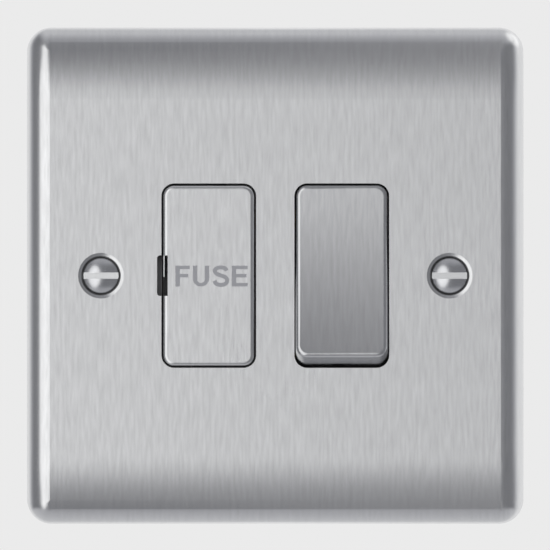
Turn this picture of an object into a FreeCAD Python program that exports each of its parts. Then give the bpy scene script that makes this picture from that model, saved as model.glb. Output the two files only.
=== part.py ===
import FreeCAD, Part

# Switched fused spur unit for a single wall box: a bowed, brushed steel plate with a fuse
# drawer on the left and a rocker switch on the right, and a terminal module behind it.
#
# Frame: origin on the wall plane at the middle of the two fixing screws, +Z up, +X to the
# right as seen from the front, +Y into the wall. The plate's face looks along -Y.
# Lengths are millimetres, angles degrees. The rocker is modelled at OFF, with its foot out.

import math
import os

from FreeCAD import Vector

# The plate: a pressed sheet, flat over the module, bowed back along its top and bottom.
plate_width = 86.0
plate_height = 86.0
plate_projection = 6.5
plate_sheet = 1.0
plate_corner_radius = 4.2
plate_edge_radius = 4.0
bow_drop = 2.9
flat_margin = 2.6

# The two windows in the plate, and what shows in them.
window_pitch = 23.0
window_width = 16.4
window_height = 31.9
window_corner_radius = 2.2
cap_gap = 0.24
cap_sheet = 0.6
cap_edge_radius = 0.75
cap_skirt = 3.0

# The lever notch at the left of the fuse drawer, half in the plate and half in the drawer.
notch_height = 7.0
notch_in_plate = 0.75
notch_in_cap = 0.85
notch_in_body = 1.6
notch_depth = 3.4
notch_corner_radius = 0.5
notch_tongue = 0.18
notch_tongue_inset = 0.12
notch_tongue_drop = 0.2

# The fixing screws, with raised countersunk heads, and the dimples that they sit in.
fixing_pitch = 60.3
fixing_shank_radius = 1.75
fixing_neck_radius = 1.45
fixing_neck_clearance = 0.3
fixing_length = 25.0
fixing_head_radius = 3.03
fixing_head_edge = 0.25
fixing_dome_height = 1.0
fixing_slot_width = 1.1
fixing_slot_depth = 1.1
fixing_hole_radius = 2.1
fixing_point = 0.6
dimple_lip_radius = 3.95
dimple_lip_depth = 0.2
dimple_bore_radius = 3.43
dimple_bore_depth = 0.35

# The module behind the plate: a frame in front and a terminal base at the back.
module_width = 58.0
module_corner_radius = 3.0
module_depth = 16.0
module_back_wall = 2.5
module_edge_chamfer = 0.7
lug_recess_height = 15.0
lug_recess_reach = 6.35
lug_recess_corner = 1.0
back_recess_depth = 0.8
back_recess_margin = 2.6

# The four screws that hold the module to bushes welded on the back of the plate.
module_screw_pitch_x = 49.0
module_screw_pitch_z = 25.0
module_screw_radius = 1.5
module_screw_head_radius = 2.8
module_screw_head_height = 1.9
module_screw_slot_width = 0.8
module_screw_slot_depth = 0.9
bush_radius = 2.5
bush_length = 4.0

# Clearances that several fits share.
running_clearance = 0.05
loose_clearance = 0.1
seat_clearance = 0.15

# The fuse drawer slides straight out on two hooked arms, and carries the cartridge fuse.
drawer_proud = 0.2
drawer_block_depth = 1.9
drawer_arm_half_width = 5.5
drawer_hook_half_width = 3.0
drawer_hook_length = 1.2
drawer_hook_height = 1.3
drawer_hook_clearance = 0.35
drawer_guide_clearance = 0.15
frame_lip = 2.0

# The cartridge fuse stands upright behind the drawer's face.
fuse_length = 25.4
fuse_radius = 3.175
fuse_cap_length = 5.6
fuse_cap_sheet = 0.28
fuse_bore_radius = 1.8
fuse_wire_radius = 0.2
fuse_axis_y = 2.0
fuse_end_clearance = 0.2
cradle_half_length = 5.5
cradle_wall = 1.2
cradle_grip = 1.2

# The spring clips that grip the fuse's two caps.
clip_width = 4.4
clip_sheet = 0.5
clip_grip_past_axis = 1.6
clip_lip_length = 1.3
clip_lip_angle = 28.0
clip_floor_gap = 0.35

# The rocker rocks about an axis behind the plate, with a hollowed face and round ends.
rocker_tilt = 6.5
rocker_pivot_y = -0.6
rocker_face_height = 6.6
rocker_face_radius = 120.0
rocker_end_gap = 0.12
rocker_skirt_back = 1.0
rocker_wall = 1.5
rocker_side_clearance = 0.2
rocker_rib = 1.2
trunnion_radius = 1.5
trunnion_length = 1.4
trunnion_boss_radius = 2.4

# The two poles: a sprung plunger in the rocker tips a contact arm on its pivot post.
pole_pitch = 8.4
plunger_radius = 1.2
plunger_bore_radius = 1.3
plunger_tower_radius = 2.2
plunger_tower_length = 5.6
plunger_length = 5.4
spring_wire_radius = 0.2
spring_coil_radius = 0.95
spring_turns = 4.5
arm_pivot_y = 9.8
arm_ratio = 1.5
arm_thickness = 0.8
arm_width = 3.6
arm_length = 19.5
arm_bead_radius = 0.9
arm_offset = 0.6
post_size = 3.6
post_rise = 0.15
tip_radius = 1.5
tip_height = 0.7
tip_position = 8.5
pole_barrier = 1.2
pole_barrier_height = 7.0
pole_barrier_length = 24.0

# The terminals: brass blocks, each with a wire bore and a clamping screw from the back.
terminal_pitch = 18.0
terminal_width = 8.0
terminal_length = 9.0
terminal_depth = 8.7
terminal_edge_radius = 0.4
terminal_inset = 0.5
terminal_wall = 1.14
terminal_back_inset = 0.3
wire_bore_radius = 2.2
wire_bore_depth = 5.4
clamp_screw_radius = 1.95
clamp_head_radius = 3.4
clamp_head_height = 2.2
clamp_head_lift = 0.5
clamp_slot_width = 1.0
clamp_slot_depth = 1.2

# The flat conductors and the earth strap.
strip_thickness = 0.8
strip_width = 3.4
strip_in_terminal = 2.0
earth_bar_width = 5.0

# Places that follow from the sizes above.
face_y = -plate_projection
lining_y = face_y + plate_sheet
fuse_x = -window_pitch / 2
rocker_x = window_pitch / 2
cap_width = window_width - 2 * cap_gap
cap_height = window_height - 2 * cap_gap
cap_corner_radius = window_corner_radius - cap_gap
split_y = rocker_pivot_y + trunnion_radius + loose_clearance
floor_y = module_depth - module_back_wall
strip_y = floor_y - strip_thickness
module_screw_seat_y = module_depth - module_screw_head_height - loose_clearance
terminal_back_y = module_depth - terminal_back_inset
terminal_front_y = terminal_back_y - terminal_depth
wire_bore_y = terminal_back_y - wire_bore_depth
fuse_tube_radius = fuse_radius - fuse_cap_sheet
drawer_front_y = face_y - drawer_proud
drawer_block_y = drawer_front_y + cap_skirt
drawer_back_y = drawer_block_y + drawer_block_depth
arm_end_y = strip_y - clip_floor_gap
hook_z = cap_height / 2 + drawer_hook_height
hook_slot_z = hook_z + drawer_hook_clearance
terminal_inner_z = hook_slot_z + terminal_wall
terminal_outer_z = terminal_inner_z + terminal_length
module_height = 2 * (terminal_outer_z + terminal_inset)
half_flat = module_height / 2 + flat_margin
bow_band = plate_height / 2 - half_flat
bow_radius = (bow_band**2 + bow_drop**2) / (2 * bow_drop)
rocker_end_radius = math.hypot(window_height / 2 - rocker_end_gap, rocker_pivot_y - lining_y)
rocker_well_height = 2 * (rocker_end_radius + loose_clearance) + 2 * rocker_end_gap
rocker_well_width = cap_width + 2 * rocker_side_clearance
rocker_roof_y = rocker_pivot_y - rocker_face_height + cap_skirt
arm_tilt = rocker_tilt * arm_ratio
pole_xs = {"live": rocker_x - pole_pitch / 2, "neutral": rocker_x + pole_pitch / 2}
tip_end_y = arm_pivot_y - arm_offset + arm_thickness / 2 + tip_height
arm_front_y = arm_pivot_y - arm_offset - arm_thickness / 2
plunger_reach = arm_front_y - rocker_pivot_y - loose_clearance

ABOUT_X = Vector(1, 0, 0)
SIDES = (-1, 1)


def box(x0, x1, y0, y1, z0, z1):
    """A block between two corners."""
    return Part.makeBox(x1 - x0, y1 - y0, z1 - z0, Vector(x0, y0, z0))


def cylinder(radius, start, direction, length):
    """A round bar from start along direction."""
    return Part.makeCylinder(radius, length, Vector(*start), Vector(*direction))


def rounded_block(x, width, height, radius, y0, y1):
    """A block at mid height whose outline, seen from the front, is a rounded rectangle."""
    block = box(x - width / 2, x + width / 2, y0, y1, -height / 2, height / 2)
    along_y = [e for e in block.Edges if abs(e.tangentAt(e.FirstParameter).y) > 0.99]
    return block.makeFillet(radius, along_y)


def turned(points, x, z):
    """A body turned about the Y line through x and z, from points of radius and y."""
    corners = [Vector(x + r, y, z) for r, y in points]
    face = Part.Face(Part.makePolygon(corners + corners[:1]))
    return face.revolve(Vector(x, 0, z), Vector(0, 1, 0), 360)


def joined(first, *others):
    """One solid from several that meet, with the seams between flush faces removed."""
    return first.multiFuse(list(others)).removeSplitter()


def tilted(shape, degrees, y):
    """The shape turned about the X line at height zero and depth y."""
    turned_shape = shape.copy()
    turned_shape.rotate(Vector(0, y, 0), ABOUT_X, degrees)
    return turned_shape


def at_screw_corners(make):
    """What make gives at each of the four module screws."""
    half_x = module_screw_pitch_x / 2
    half_z = module_screw_pitch_z / 2
    return [make(sx * half_x, sz * half_z) for sx in SIDES for sz in SIDES]


# The plate.


def plate_form(inset):
    """The plate's outer form, shrunk on every side but the open back."""
    half_w = plate_width / 2 - inset
    half_h = plate_height / 2 - inset
    front = face_y + inset
    radius = bow_radius - inset

    def bow_y(z):
        return front + radius - math.sqrt(radius**2 - (z - half_flat) ** 2)

    def point(y, z):
        return Vector(-half_w, y, z)

    mid_z = (half_flat + half_h) / 2
    upper = Part.Arc(point(front, half_flat), point(bow_y(mid_z), mid_z), point(bow_y(half_h), half_h))
    lower = Part.Arc(point(bow_y(half_h), -half_h), point(bow_y(mid_z), -mid_z), point(front, -half_flat))
    outline = Part.Wire(
        [
            Part.LineSegment(point(0, -half_h), point(bow_y(half_h), -half_h)).toShape(),
            lower.toShape(),
            Part.LineSegment(point(front, -half_flat), point(front, half_flat)).toShape(),
            upper.toShape(),
            Part.LineSegment(point(bow_y(half_h), half_h), point(0, half_h)).toShape(),
            Part.LineSegment(point(0, half_h), point(0, -half_h)).toShape(),
        ]
    )
    form = Part.Face(outline).extrude(Vector(2 * half_w, 0, 0))
    corners = [e for e in form.Edges if abs(e.tangentAt(e.FirstParameter).y) > 0.99]
    form = form.makeFillet(plate_corner_radius - inset, corners)
    return form.makeFillet(plate_edge_radius - inset, rim_edges(form))


def rim_edges(form):
    """The edges between the front of the plate and its four sides."""
    found = []
    for edge in form.Edges:
        along = edge.tangentAt((edge.FirstParameter + edge.LastParameter) / 2)
        at_back = edge.BoundBox.YMax > -1e-3
        on_front_seam = edge.BoundBox.YMax < face_y + plate_sheet + 1e-3 and abs(along.x) > 0.99
        if not (at_back or on_front_seam):
            found.append(edge)
    return found


def boss_cone_sum():
    """On the back of a dimple's cone, the radius plus the depth behind the plate's face."""
    return dimple_bore_radius + dimple_bore_depth + plate_sheet * math.sqrt(2)


def boss_depth():
    """How far behind the plate's face a dimple's boss ends."""
    return boss_cone_sum() - fixing_hole_radius - 0.75 * plate_sheet


def dimple_boss(x):
    """The metal pressed back around a fixing screw."""
    outer = dimple_bore_radius + plate_sheet
    neck = fixing_hole_radius + plate_sheet
    cone_sum = boss_cone_sum()
    end = boss_depth()
    outline = [(0, 0.5 * plate_sheet), (outer, 0.5 * plate_sheet), (outer, cone_sum - outer)]
    outline += [(neck, cone_sum - neck), (neck, end), (0, end)]
    return turned([(r, face_y + d) for r, d in outline], x, 0)


def dimple_bore(x):
    """What is open in a dimple: its lip, its bore, the conical seat and the screw hole."""
    seat_end = dimple_bore_depth + dimple_bore_radius - fixing_hole_radius
    outline = [(0, -1), (dimple_lip_radius, -1), (dimple_lip_radius, 0)]
    outline += [(dimple_bore_radius, dimple_lip_depth), (dimple_bore_radius, dimple_bore_depth)]
    outline += [(fixing_hole_radius, seat_end), (fixing_hole_radius, plate_projection)]
    outline += [(0, plate_projection)]
    return turned([(r, face_y + d) for r, d in outline], x, 0)


def window(x):
    """One of the two windows in the plate."""
    return rounded_block(x, window_width, window_height, window_corner_radius, face_y - 1, 0)


def front_plate():
    """The brushed plate, pressed from one sheet."""
    plate = plate_form(0).cut(plate_form(plate_sheet))
    screws = [side * fixing_pitch / 2 for side in SIDES]
    plate = plate.multiFuse([dimple_boss(x) for x in screws])
    notch_x = fuse_x - window_width / 2
    notch = rounded_block(notch_x, 2 * notch_in_plate, notch_height, notch_corner_radius, face_y - 1, 0)
    return plate.cut([window(fuse_x), window(rocker_x), notch] + [dimple_bore(x) for x in screws])


def fixing_screw(x):
    """A raised countersunk screw with a slot and a thinner neck, seated in its dimple."""
    seat = face_y + dimple_bore_depth + dimple_bore_radius - fixing_head_radius
    rim = seat - fixing_head_edge
    top = rim - fixing_dome_height
    neck_start = seat + fixing_head_radius - fixing_neck_radius
    thread_start = face_y + boss_depth() + fixing_neck_clearance
    neck_end = thread_start - (fixing_shank_radius - fixing_neck_radius)
    end = rim + fixing_length
    dome_radius = (fixing_head_radius**2 + fixing_dome_height**2) / (2 * fixing_dome_height)
    dome_mid = fixing_head_radius / 2
    dome_mid_y = top + dome_radius - math.sqrt(dome_radius**2 - dome_mid**2)
    outline = [(fixing_head_radius, rim), (fixing_head_radius, seat)]
    outline += [(fixing_neck_radius, neck_start), (fixing_neck_radius, neck_end)]
    outline += [(fixing_shank_radius, thread_start), (fixing_shank_radius, end - fixing_point)]
    outline += [(fixing_shank_radius - fixing_point, end), (0, end), (0, top)]
    corners = [Vector(x + r, y, 0) for r, y in outline]
    dome = Part.Arc(corners[-1], Vector(x + dome_mid, dome_mid_y, 0), corners[0]).toShape()
    sides = [Part.LineSegment(a, b).toShape() for a, b in zip(corners[:-1], corners[1:])]
    screw = Part.Face(Part.Wire([dome] + sides)).revolve(Vector(x, 0, 0), Vector(0, 1, 0), 360)
    reach = 2 * fixing_head_radius
    half_slot = fixing_slot_width / 2
    slot = box(x - reach, x + reach, top - 1, top + fixing_slot_depth, -half_slot, half_slot)
    return screw.cut(slot)


# The module's frame and base.


def module_block(y0, y1):
    """The module's outline, with a recess on each side for the wall box's lugs."""
    block = rounded_block(0, module_width, module_height, module_corner_radius, y0, y1)
    width = 2 * lug_recess_reach
    recesses = [
        rounded_block(side * fixing_pitch / 2, width, lug_recess_height, lug_recess_corner, y0 - 1, y1 + 1)
        for side in SIDES
    ]
    return block.cut(recesses)


def drawer_well(y0, y1):
    """The space that the drawer slides in, which guides it on all four sides."""
    width = cap_width + 2 * drawer_guide_clearance
    height = cap_height + 2 * drawer_guide_clearance
    return rounded_block(fuse_x, width, height, window_corner_radius, y0, y1)


def hook_slots(y0, y1):
    """The slots above and below the drawer that its hooks run in."""
    half = drawer_hook_half_width + drawer_hook_clearance
    return box(fuse_x - half, fuse_x + half, y0, y1, -hook_slot_z, hook_slot_z)


def rocker_well(y0, y1):
    """The space that the rocker and the contacts behind it move in."""
    half_w = rocker_well_width / 2
    half_h = rocker_well_height / 2
    return box(rocker_x - half_w, rocker_x + half_w, y0, y1, -half_h, half_h)


def bearing_slot():
    """The round-ended slots for the rocker's trunnions, open to the back of the frame."""
    half_span = cap_width / 2 + trunnion_length + loose_clearance
    radius = trunnion_radius + running_clearance
    start = (rocker_x - half_span, rocker_pivot_y, 0)
    bearing = cylinder(radius, start, (1, 0, 0), 2 * half_span)
    entry = box(start[0], rocker_x + half_span, rocker_pivot_y, split_y + 1, -radius, radius)
    return bearing.fuse(entry)


def lever_pocket():
    """The part of the lever notch that is cut in the frame, beside the drawer."""
    edge_x = fuse_x - window_width / 2
    half = notch_height / 2
    return box(edge_x - notch_in_plate, edge_x + 1, lining_y - 1, face_y + notch_depth, -half, half)


def bush_pocket(x, z):
    """The pocket for a plate bush in the front of the frame."""
    return cylinder(bush_radius + loose_clearance, (x, lining_y - 1, z), (0, 1, 0), bush_length + 1)


def module_screw_hole(x, z):
    """A clearance hole for a module screw, and the pocket for its head at the back."""
    radius = module_screw_radius + loose_clearance
    head_radius = module_screw_head_radius + 2 * loose_clearance
    hole = cylinder(radius, (x, lining_y, z), (0, 1, 0), module_depth - lining_y)
    return hole.fuse(cylinder(head_radius, (x, module_screw_seat_y, z), (0, 1, 0), module_depth))


def insert_frame():
    """The black moulding behind the plate, with a well for the drawer and one for the rocker."""
    frame = module_block(lining_y, split_y)
    cuts = [drawer_well(lining_y - 1, split_y + 1), rocker_well(lining_y - 1, split_y + 1)]
    cuts += [hook_slots(lining_y + frame_lip, split_y + 1), bearing_slot(), lever_pocket()]
    cuts += at_screw_corners(bush_pocket) + at_screw_corners(module_screw_hole)
    return frame.cut(cuts + earth_boxes())


def terminal_places():
    """Each terminal's name, its x and its side: +1 in the upper row, -1 in the lower row."""
    return {
        "live_out_terminal": (-terminal_pitch, 1),
        "earth_out_terminal": (0, 1),
        "neutral_out_terminal": (terminal_pitch, 1),
        "earth_in_terminal": (-terminal_pitch, -1),
        "live_in_terminal": (0, -1),
        "neutral_in_terminal": (terminal_pitch, -1),
    }


def row_box(x0, x1, y0, y1, near, far, side):
    """A block between two heights of the upper row, or their mirror in the lower row."""
    z0, z1 = sorted((side * near, side * far))
    return box(x0, x1, y0, y1, z0, z1)


def terminal_pocket(x, side):
    """A pocket that is open at the back and at the module's edge."""
    half = terminal_width / 2 + loose_clearance
    past = module_height / 2 + 1
    return row_box(x - half, x + half, terminal_front_y, module_depth + 1, terminal_inner_z, past, side)


def back_recess(x):
    """A shallow recess in the back of the base, behind one of the wells."""
    width = window_width - back_recess_margin
    height = window_height - back_recess_margin
    front = module_depth - back_recess_depth
    return rounded_block(x, width, height, window_corner_radius, front, module_depth + 1)


def barrier_wall():
    """The wall between the two poles of the switch, standing on the floor of the base."""
    half_w = pole_barrier / 2
    half_h = pole_barrier_length / 2
    front = floor_y - pole_barrier_height
    return box(rocker_x - half_w, rocker_x + half_w, front, floor_y + module_back_wall / 2, -half_h, half_h)


def terminal_base():
    """The rear moulding, which holds the terminals, the conductors and the contacts."""
    base = module_block(split_y, module_depth)
    back_rim = [e for e in base.Edges if e.BoundBox.YMin > module_depth - 1e-3]
    base = base.makeChamfer(module_edge_chamfer, back_rim)
    cuts = [drawer_well(split_y - 1, floor_y), rocker_well(split_y - 1, floor_y)]
    cuts += [hook_slots(split_y - 1, floor_y), back_recess(fuse_x), back_recess(rocker_x)]
    cuts += [terminal_pocket(x, side) for x, side in terminal_places().values()]
    cuts += at_screw_corners(module_screw_hole)
    rooms = [strip_room(strip) for strip in flat_conductors().values()]
    return joined(base.cut(cuts + earth_boxes()), barrier_wall()).cut(rooms)


# What holds the module to the plate.


def plate_bush(x, z):
    """A threaded spacer, welded to the back of the plate."""
    bore = module_screw_radius + running_clearance
    bush = cylinder(bush_radius, (x, lining_y, z), (0, 1, 0), bush_length)
    return bush.cut(cylinder(bore, (x, lining_y - 1, z), (0, 1, 0), bush_length + 2))


def cheese_head(x, z, seat_y, radius, height, slot_width, slot_depth):
    """The slotted round head of a screw that is driven in from the back."""
    top = seat_y + height
    head = cylinder(radius, (x, seat_y, z), (0, 1, 0), height)
    rim = [e for e in head.Edges if e.BoundBox.YMin > top - 1e-3]
    head = head.makeFillet(height / 5, rim)
    half = slot_width / 2
    slot = box(x - 2 * radius, x + 2 * radius, top - slot_depth, top + 1, z - half, z + half)
    return head.cut(slot)


def module_screw(x, z):
    """One of the four screws through the module into the plate's bushes."""
    tip_y = lining_y + loose_clearance
    shank = cylinder(module_screw_radius, (x, tip_y, z), (0, 1, 0), module_screw_seat_y - tip_y)
    head = cheese_head(
        x,
        z,
        module_screw_seat_y,
        module_screw_head_radius,
        module_screw_head_height,
        module_screw_slot_width,
        module_screw_slot_depth,
    )
    return joined(shank, head)


# The terminals.


def terminal(x, side):
    """A brass block with a wire bore along Z, a screw hole from the back and a slit for its strip."""
    half = terminal_width / 2
    near, far = terminal_inner_z, terminal_outer_z
    block = row_box(x - half, x + half, terminal_front_y, terminal_back_y, near, far, side)
    along_z = [e for e in block.Edges if abs(e.tangentAt(e.FirstParameter).z) > 0.99]
    block = block.makeFillet(terminal_edge_radius, along_z)
    bore = cylinder(wire_bore_radius, (x, wire_bore_y, -module_height), (0, 0, 1), 2 * module_height)
    mid_z = side * (near + far) / 2
    hole_radius = clamp_screw_radius + running_clearance
    hole = cylinder(hole_radius, (x, wire_bore_y, mid_z), (0, 1, 0), terminal_depth)
    return block.cut([bore, hole, terminal_tail(x, side)])


def terminal_tail(x, side):
    """The end of a flat conductor that is let into a terminal."""
    half = strip_width / 2
    far = terminal_inner_z + strip_in_terminal
    return row_box(x - half, x + half, strip_y, floor_y, hook_slot_z, far, side)


def clamp_screw(x, side):
    """The screw that clamps a wire in its terminal."""
    mid_z = side * (terminal_inner_z + terminal_outer_z) / 2
    tip_y = wire_bore_y + wire_bore_radius + loose_clearance
    seat_y = terminal_back_y + clamp_head_lift
    shank = cylinder(clamp_screw_radius, (x, tip_y, mid_z), (0, 1, 0), seat_y - tip_y)
    head = cheese_head(
        x,
        mid_z,
        seat_y,
        clamp_head_radius,
        clamp_head_height,
        clamp_slot_width,
        clamp_slot_depth,
    )
    return joined(shank, head)


# The flat conductors, which lie on the floor of the base.


def floor_strip(x0, x1, z0, z1):
    """A stretch of flat conductor on the floor of the base."""
    return box(x0, x1, strip_y, floor_y, z0, z1)


def strip_room(strip):
    """The passage that a flat conductor needs through the walls of the base."""
    rooms = []
    for part in strip["floor"]:
        b = part.BoundBox
        c = running_clearance
        rooms.append(box(b.XMin - c, b.XMax + c, strip_y - c, floor_y, b.ZMin - c, b.ZMax + c))
    return rooms[0].multiFuse(rooms[1:])


def pivot_post(x):
    """The post with a round groove that a contact arm tips in."""
    half = post_size / 2
    top = arm_pivot_y + post_rise
    post = box(x - half, x + half, top, floor_y, -half, half)
    radius = arm_bead_radius + loose_clearance
    groove = cylinder(radius, (x - half, arm_pivot_y, 0), (1, 0, 0), post_size)
    return post.cut(groove)


def contact_face_y():
    """How far back the moving tip reaches at ON, with the seat clearance added."""
    lean = math.radians(arm_tilt)
    reach = tip_end_y - arm_pivot_y
    tip_edge = tip_position + tip_radius
    return arm_pivot_y + reach * math.cos(lean) + tip_edge * math.sin(lean) + seat_clearance


def fixed_tip(x):
    """The silver tip that the moving tip closes on."""
    return cylinder(tip_radius, (x, contact_face_y(), tip_position), (0, 1, 0), strip_y - contact_face_y())


def clip_riser(z):
    """The upright part of a conductor that carries a fuse clip."""
    top = fuse_axis_y + fuse_radius + clip_floor_gap + clip_sheet
    half = strip_width / 2
    half_t = strip_thickness / 2
    flange = box(fuse_x - half, fuse_x + half, top, top + strip_thickness, z - half, z + half)
    wall = box(fuse_x - half_t, fuse_x + half_t, top, floor_y, z - half, z + half)
    return [flange, wall]


def flat_conductors():
    """Each flat conductor: the parts that lie on the floor, and the parts that stand up from it."""
    half = strip_width / 2
    live, neutral = pole_xs["live"], pole_xs["neutral"]
    clip_z = fuse_length / 2 - fuse_cap_length / 2
    contact_low = tip_position - half
    turn_z = rocker_well_height / 2 - strip_width
    post = post_size / 2
    return {
        "live_in_strip": {
            "floor": [
                terminal_tail(0, -1),
                floor_strip(-half, live + half, -hook_slot_z, -turn_z),
                floor_strip(live - half, live + half, -hook_slot_z, post),
            ],
            "standing": [pivot_post(live)],
        },
        "neutral_in_strip": {
            "floor": [
                terminal_tail(terminal_pitch, -1),
                floor_strip(neutral - half, terminal_pitch + half, -hook_slot_z, -turn_z),
                floor_strip(neutral - half, neutral + half, -hook_slot_z, post),
            ],
            "standing": [pivot_post(neutral)],
        },
        "live_link_strip": {
            "floor": [
                floor_strip(live - half, live + half, contact_low, clip_z + half),
                floor_strip(fuse_x - half, live + half, clip_z - half, clip_z + half),
            ],
            "standing": clip_riser(clip_z),
        },
        "live_out_strip": {
            "floor": [
                terminal_tail(-terminal_pitch, 1),
                floor_strip(-terminal_pitch - half, -terminal_pitch + half, -clip_z - half, hook_slot_z),
                floor_strip(-terminal_pitch - half, fuse_x + half, -clip_z - half, -clip_z + half),
            ],
            "standing": clip_riser(-clip_z),
        },
        "neutral_out_strip": {
            "floor": [
                terminal_tail(terminal_pitch, 1),
                floor_strip(neutral - half, neutral + half, contact_low, hook_slot_z),
                floor_strip(neutral - half, terminal_pitch + half, turn_z, hook_slot_z),
            ],
            "standing": [],
        },
    }


def earth_leg(x, side):
    """A leg of the earth strap: over the module's edge, then in under a terminal."""
    half = strip_width / 2
    edge = module_height / 2
    past = edge + strip_thickness
    under_y = terminal_front_y - strip_thickness
    over = row_box(x - half, x + half, lining_y, terminal_front_y, edge, past, side)
    under = row_box(x - half, x + half, under_y, terminal_front_y, terminal_inner_z, past, side)
    return [over, under]


def earth_boxes():
    """The earth strap's parts: a bar behind the plate, and a leg to each earth terminal."""
    back = lining_y + strip_thickness
    half = strip_width / 2
    bar_half = earth_bar_width / 2
    past = module_height / 2 + strip_thickness
    low = -(window_height + module_height) / 4
    left = -terminal_pitch - half
    bar = box(-bar_half, bar_half, lining_y, back, low - half, past)
    branch = box(left, bar_half, lining_y, back, low - half, low + half)
    drop = box(left, left + strip_width, lining_y, back, -past, low + half)
    return [bar, branch, drop] + earth_leg(0, 1) + earth_leg(-terminal_pitch, -1)


def earth_strap():
    """The strap that joins the plate to both earth terminals."""
    parts = earth_boxes()
    return joined(parts[0], *parts[1:])


def conductor(strip):
    """One flat conductor as a single piece."""
    parts = strip["floor"] + strip["standing"]
    return joined(parts[0], *parts[1:])


# The contact arms, at OFF.


def contact_arm(x):
    """A copper arm that tips on a bead across its back."""
    mid_y = arm_pivot_y - arm_offset
    half_t = arm_thickness / 2
    half_w = arm_width / 2
    arm = box(x - half_w, x + half_w, mid_y - half_t, mid_y + half_t, -arm_length / 2, arm_length / 2)
    bead = cylinder(arm_bead_radius, (x - half_w, arm_pivot_y, 0), (1, 0, 0), arm_width)
    return tilted(joined(arm, bead), arm_tilt, arm_pivot_y)


def moving_tip(x):
    """The domed silver tip on the back of a contact arm."""
    base_y = arm_pivot_y - arm_offset + arm_thickness / 2
    tip = cylinder(tip_radius, (x, base_y, tip_position), (0, 1, 0), tip_height)
    rim = [e for e in tip.Edges if e.BoundBox.YMin > base_y + tip_height - 1e-3]
    return tilted(tip.makeFillet(tip_height / 2, rim), arm_tilt, arm_pivot_y)


# The fuse drawer and its fuse.


def drawer_form(inset):
    """The form of the drawer's metal cap, shrunk on every side but the back."""
    front = drawer_front_y + inset
    width = cap_width - 2 * inset
    height = cap_height - 2 * inset
    form = rounded_block(fuse_x, width, height, cap_corner_radius - inset, front, drawer_block_y)
    rim = [e for e in form.Edges if e.BoundBox.YMax < front + 1e-3]
    return form.makeFillet(cap_edge_radius - inset, rim)


def cap_notch(depth_x, y0, y1):
    """The lever notch as it is cut in the drawer's left edge."""
    edge = fuse_x - cap_width / 2
    half = notch_height / 2
    return box(edge - 1, edge + depth_x, y0, y1, -half, half)


def fuse_drawer_cap():
    """The brushed metal cap on the drawer, notched at its left edge."""
    cap = drawer_form(0).cut(drawer_form(cap_sheet))
    cap = cap.cut(cap_notch(notch_in_cap, drawer_front_y - 1, drawer_block_y + 1))
    edge = fuse_x - cap_width / 2 + notch_tongue_inset
    half = notch_height / 2
    tongue_y = drawer_front_y + cap_edge_radius
    tongue = box(edge, edge + notch_tongue, tongue_y, drawer_block_y, -notch_tongue_drop, half)
    return joined(cap, tongue)


def fuse_cradle():
    """The open ring and its web, which hold the fuse by the middle of its tube."""
    seat_radius = fuse_tube_radius + loose_clearance
    outer = seat_radius + cradle_wall
    half = cradle_half_length
    ring = cylinder(outer, (fuse_x, fuse_axis_y, -half), (0, 0, 1), 2 * half)
    web = box(fuse_x - outer, fuse_x + outer, drawer_block_y, fuse_axis_y, -half, half)
    mouth_y = fuse_axis_y + cradle_grip
    mouth = box(fuse_x - outer, fuse_x + outer, mouth_y, fuse_axis_y + outer, -half, half)
    seat = cylinder(seat_radius, (fuse_x, fuse_axis_y, -half), (0, 0, 1), 2 * half)
    return joined(ring, web).cut([mouth, seat])


def drawer_arm(side):
    """One of the drawer's arms, which guide it and end in a hook."""
    inner_z = fuse_length / 2 + fuse_end_clearance
    half = drawer_arm_half_width
    arm = row_box(fuse_x - half, fuse_x + half, drawer_block_y, arm_end_y, inner_z, cap_height / 2, side)
    half = drawer_hook_half_width
    hook_y = arm_end_y - drawer_hook_length
    hook = row_box(fuse_x - half, fuse_x + half, hook_y, arm_end_y, inner_z, hook_z, side)
    return joined(arm, hook)


def fuse_drawer_body():
    """The drawer's moulding: a block under the cap, a cradle for the fuse and two hooked arms."""
    block = rounded_block(
        fuse_x, cap_width, cap_height, cap_corner_radius, drawer_block_y, drawer_back_y
    )
    body = joined(drawer_form(cap_sheet), block, fuse_cradle(), drawer_arm(1), drawer_arm(-1))
    finger = cap_notch(notch_in_cap, drawer_front_y - 1, drawer_block_y)
    ledge = cap_notch(notch_in_body, drawer_front_y + cap_sheet, face_y + notch_depth)
    return body.cut([finger, ledge])


def fuse_tube():
    """The ceramic tube of the cartridge fuse."""
    half = fuse_length / 2 - fuse_cap_sheet
    tube = cylinder(fuse_tube_radius, (fuse_x, fuse_axis_y, -half), (0, 0, 1), 2 * half)
    return tube.cut(cylinder(fuse_bore_radius, (fuse_x, fuse_axis_y, -half), (0, 0, 1), 2 * half))


def fuse_end_cap(side):
    """One of the fuse's two plated caps."""
    end = side * fuse_length / 2
    cap = cylinder(fuse_radius, (fuse_x, fuse_axis_y, end), (0, 0, -side), fuse_cap_length)
    rim = [e for e in cap.Edges if abs(e.BoundBox.ZMin - end) < 1e-3 and abs(e.BoundBox.ZMax - end) < 1e-3]
    cap = cap.makeFillet(fuse_cap_sheet, rim)
    inside = (fuse_x, fuse_axis_y, end - side * fuse_cap_sheet)
    return cap.cut(cylinder(fuse_tube_radius, inside, (0, 0, -side), fuse_cap_length))


def fuse_wire():
    """The fuse's element, from cap to cap."""
    half = fuse_length / 2 - fuse_cap_sheet
    return cylinder(fuse_wire_radius, (fuse_x, fuse_axis_y, -half), (0, 0, 1), 2 * half)


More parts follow.
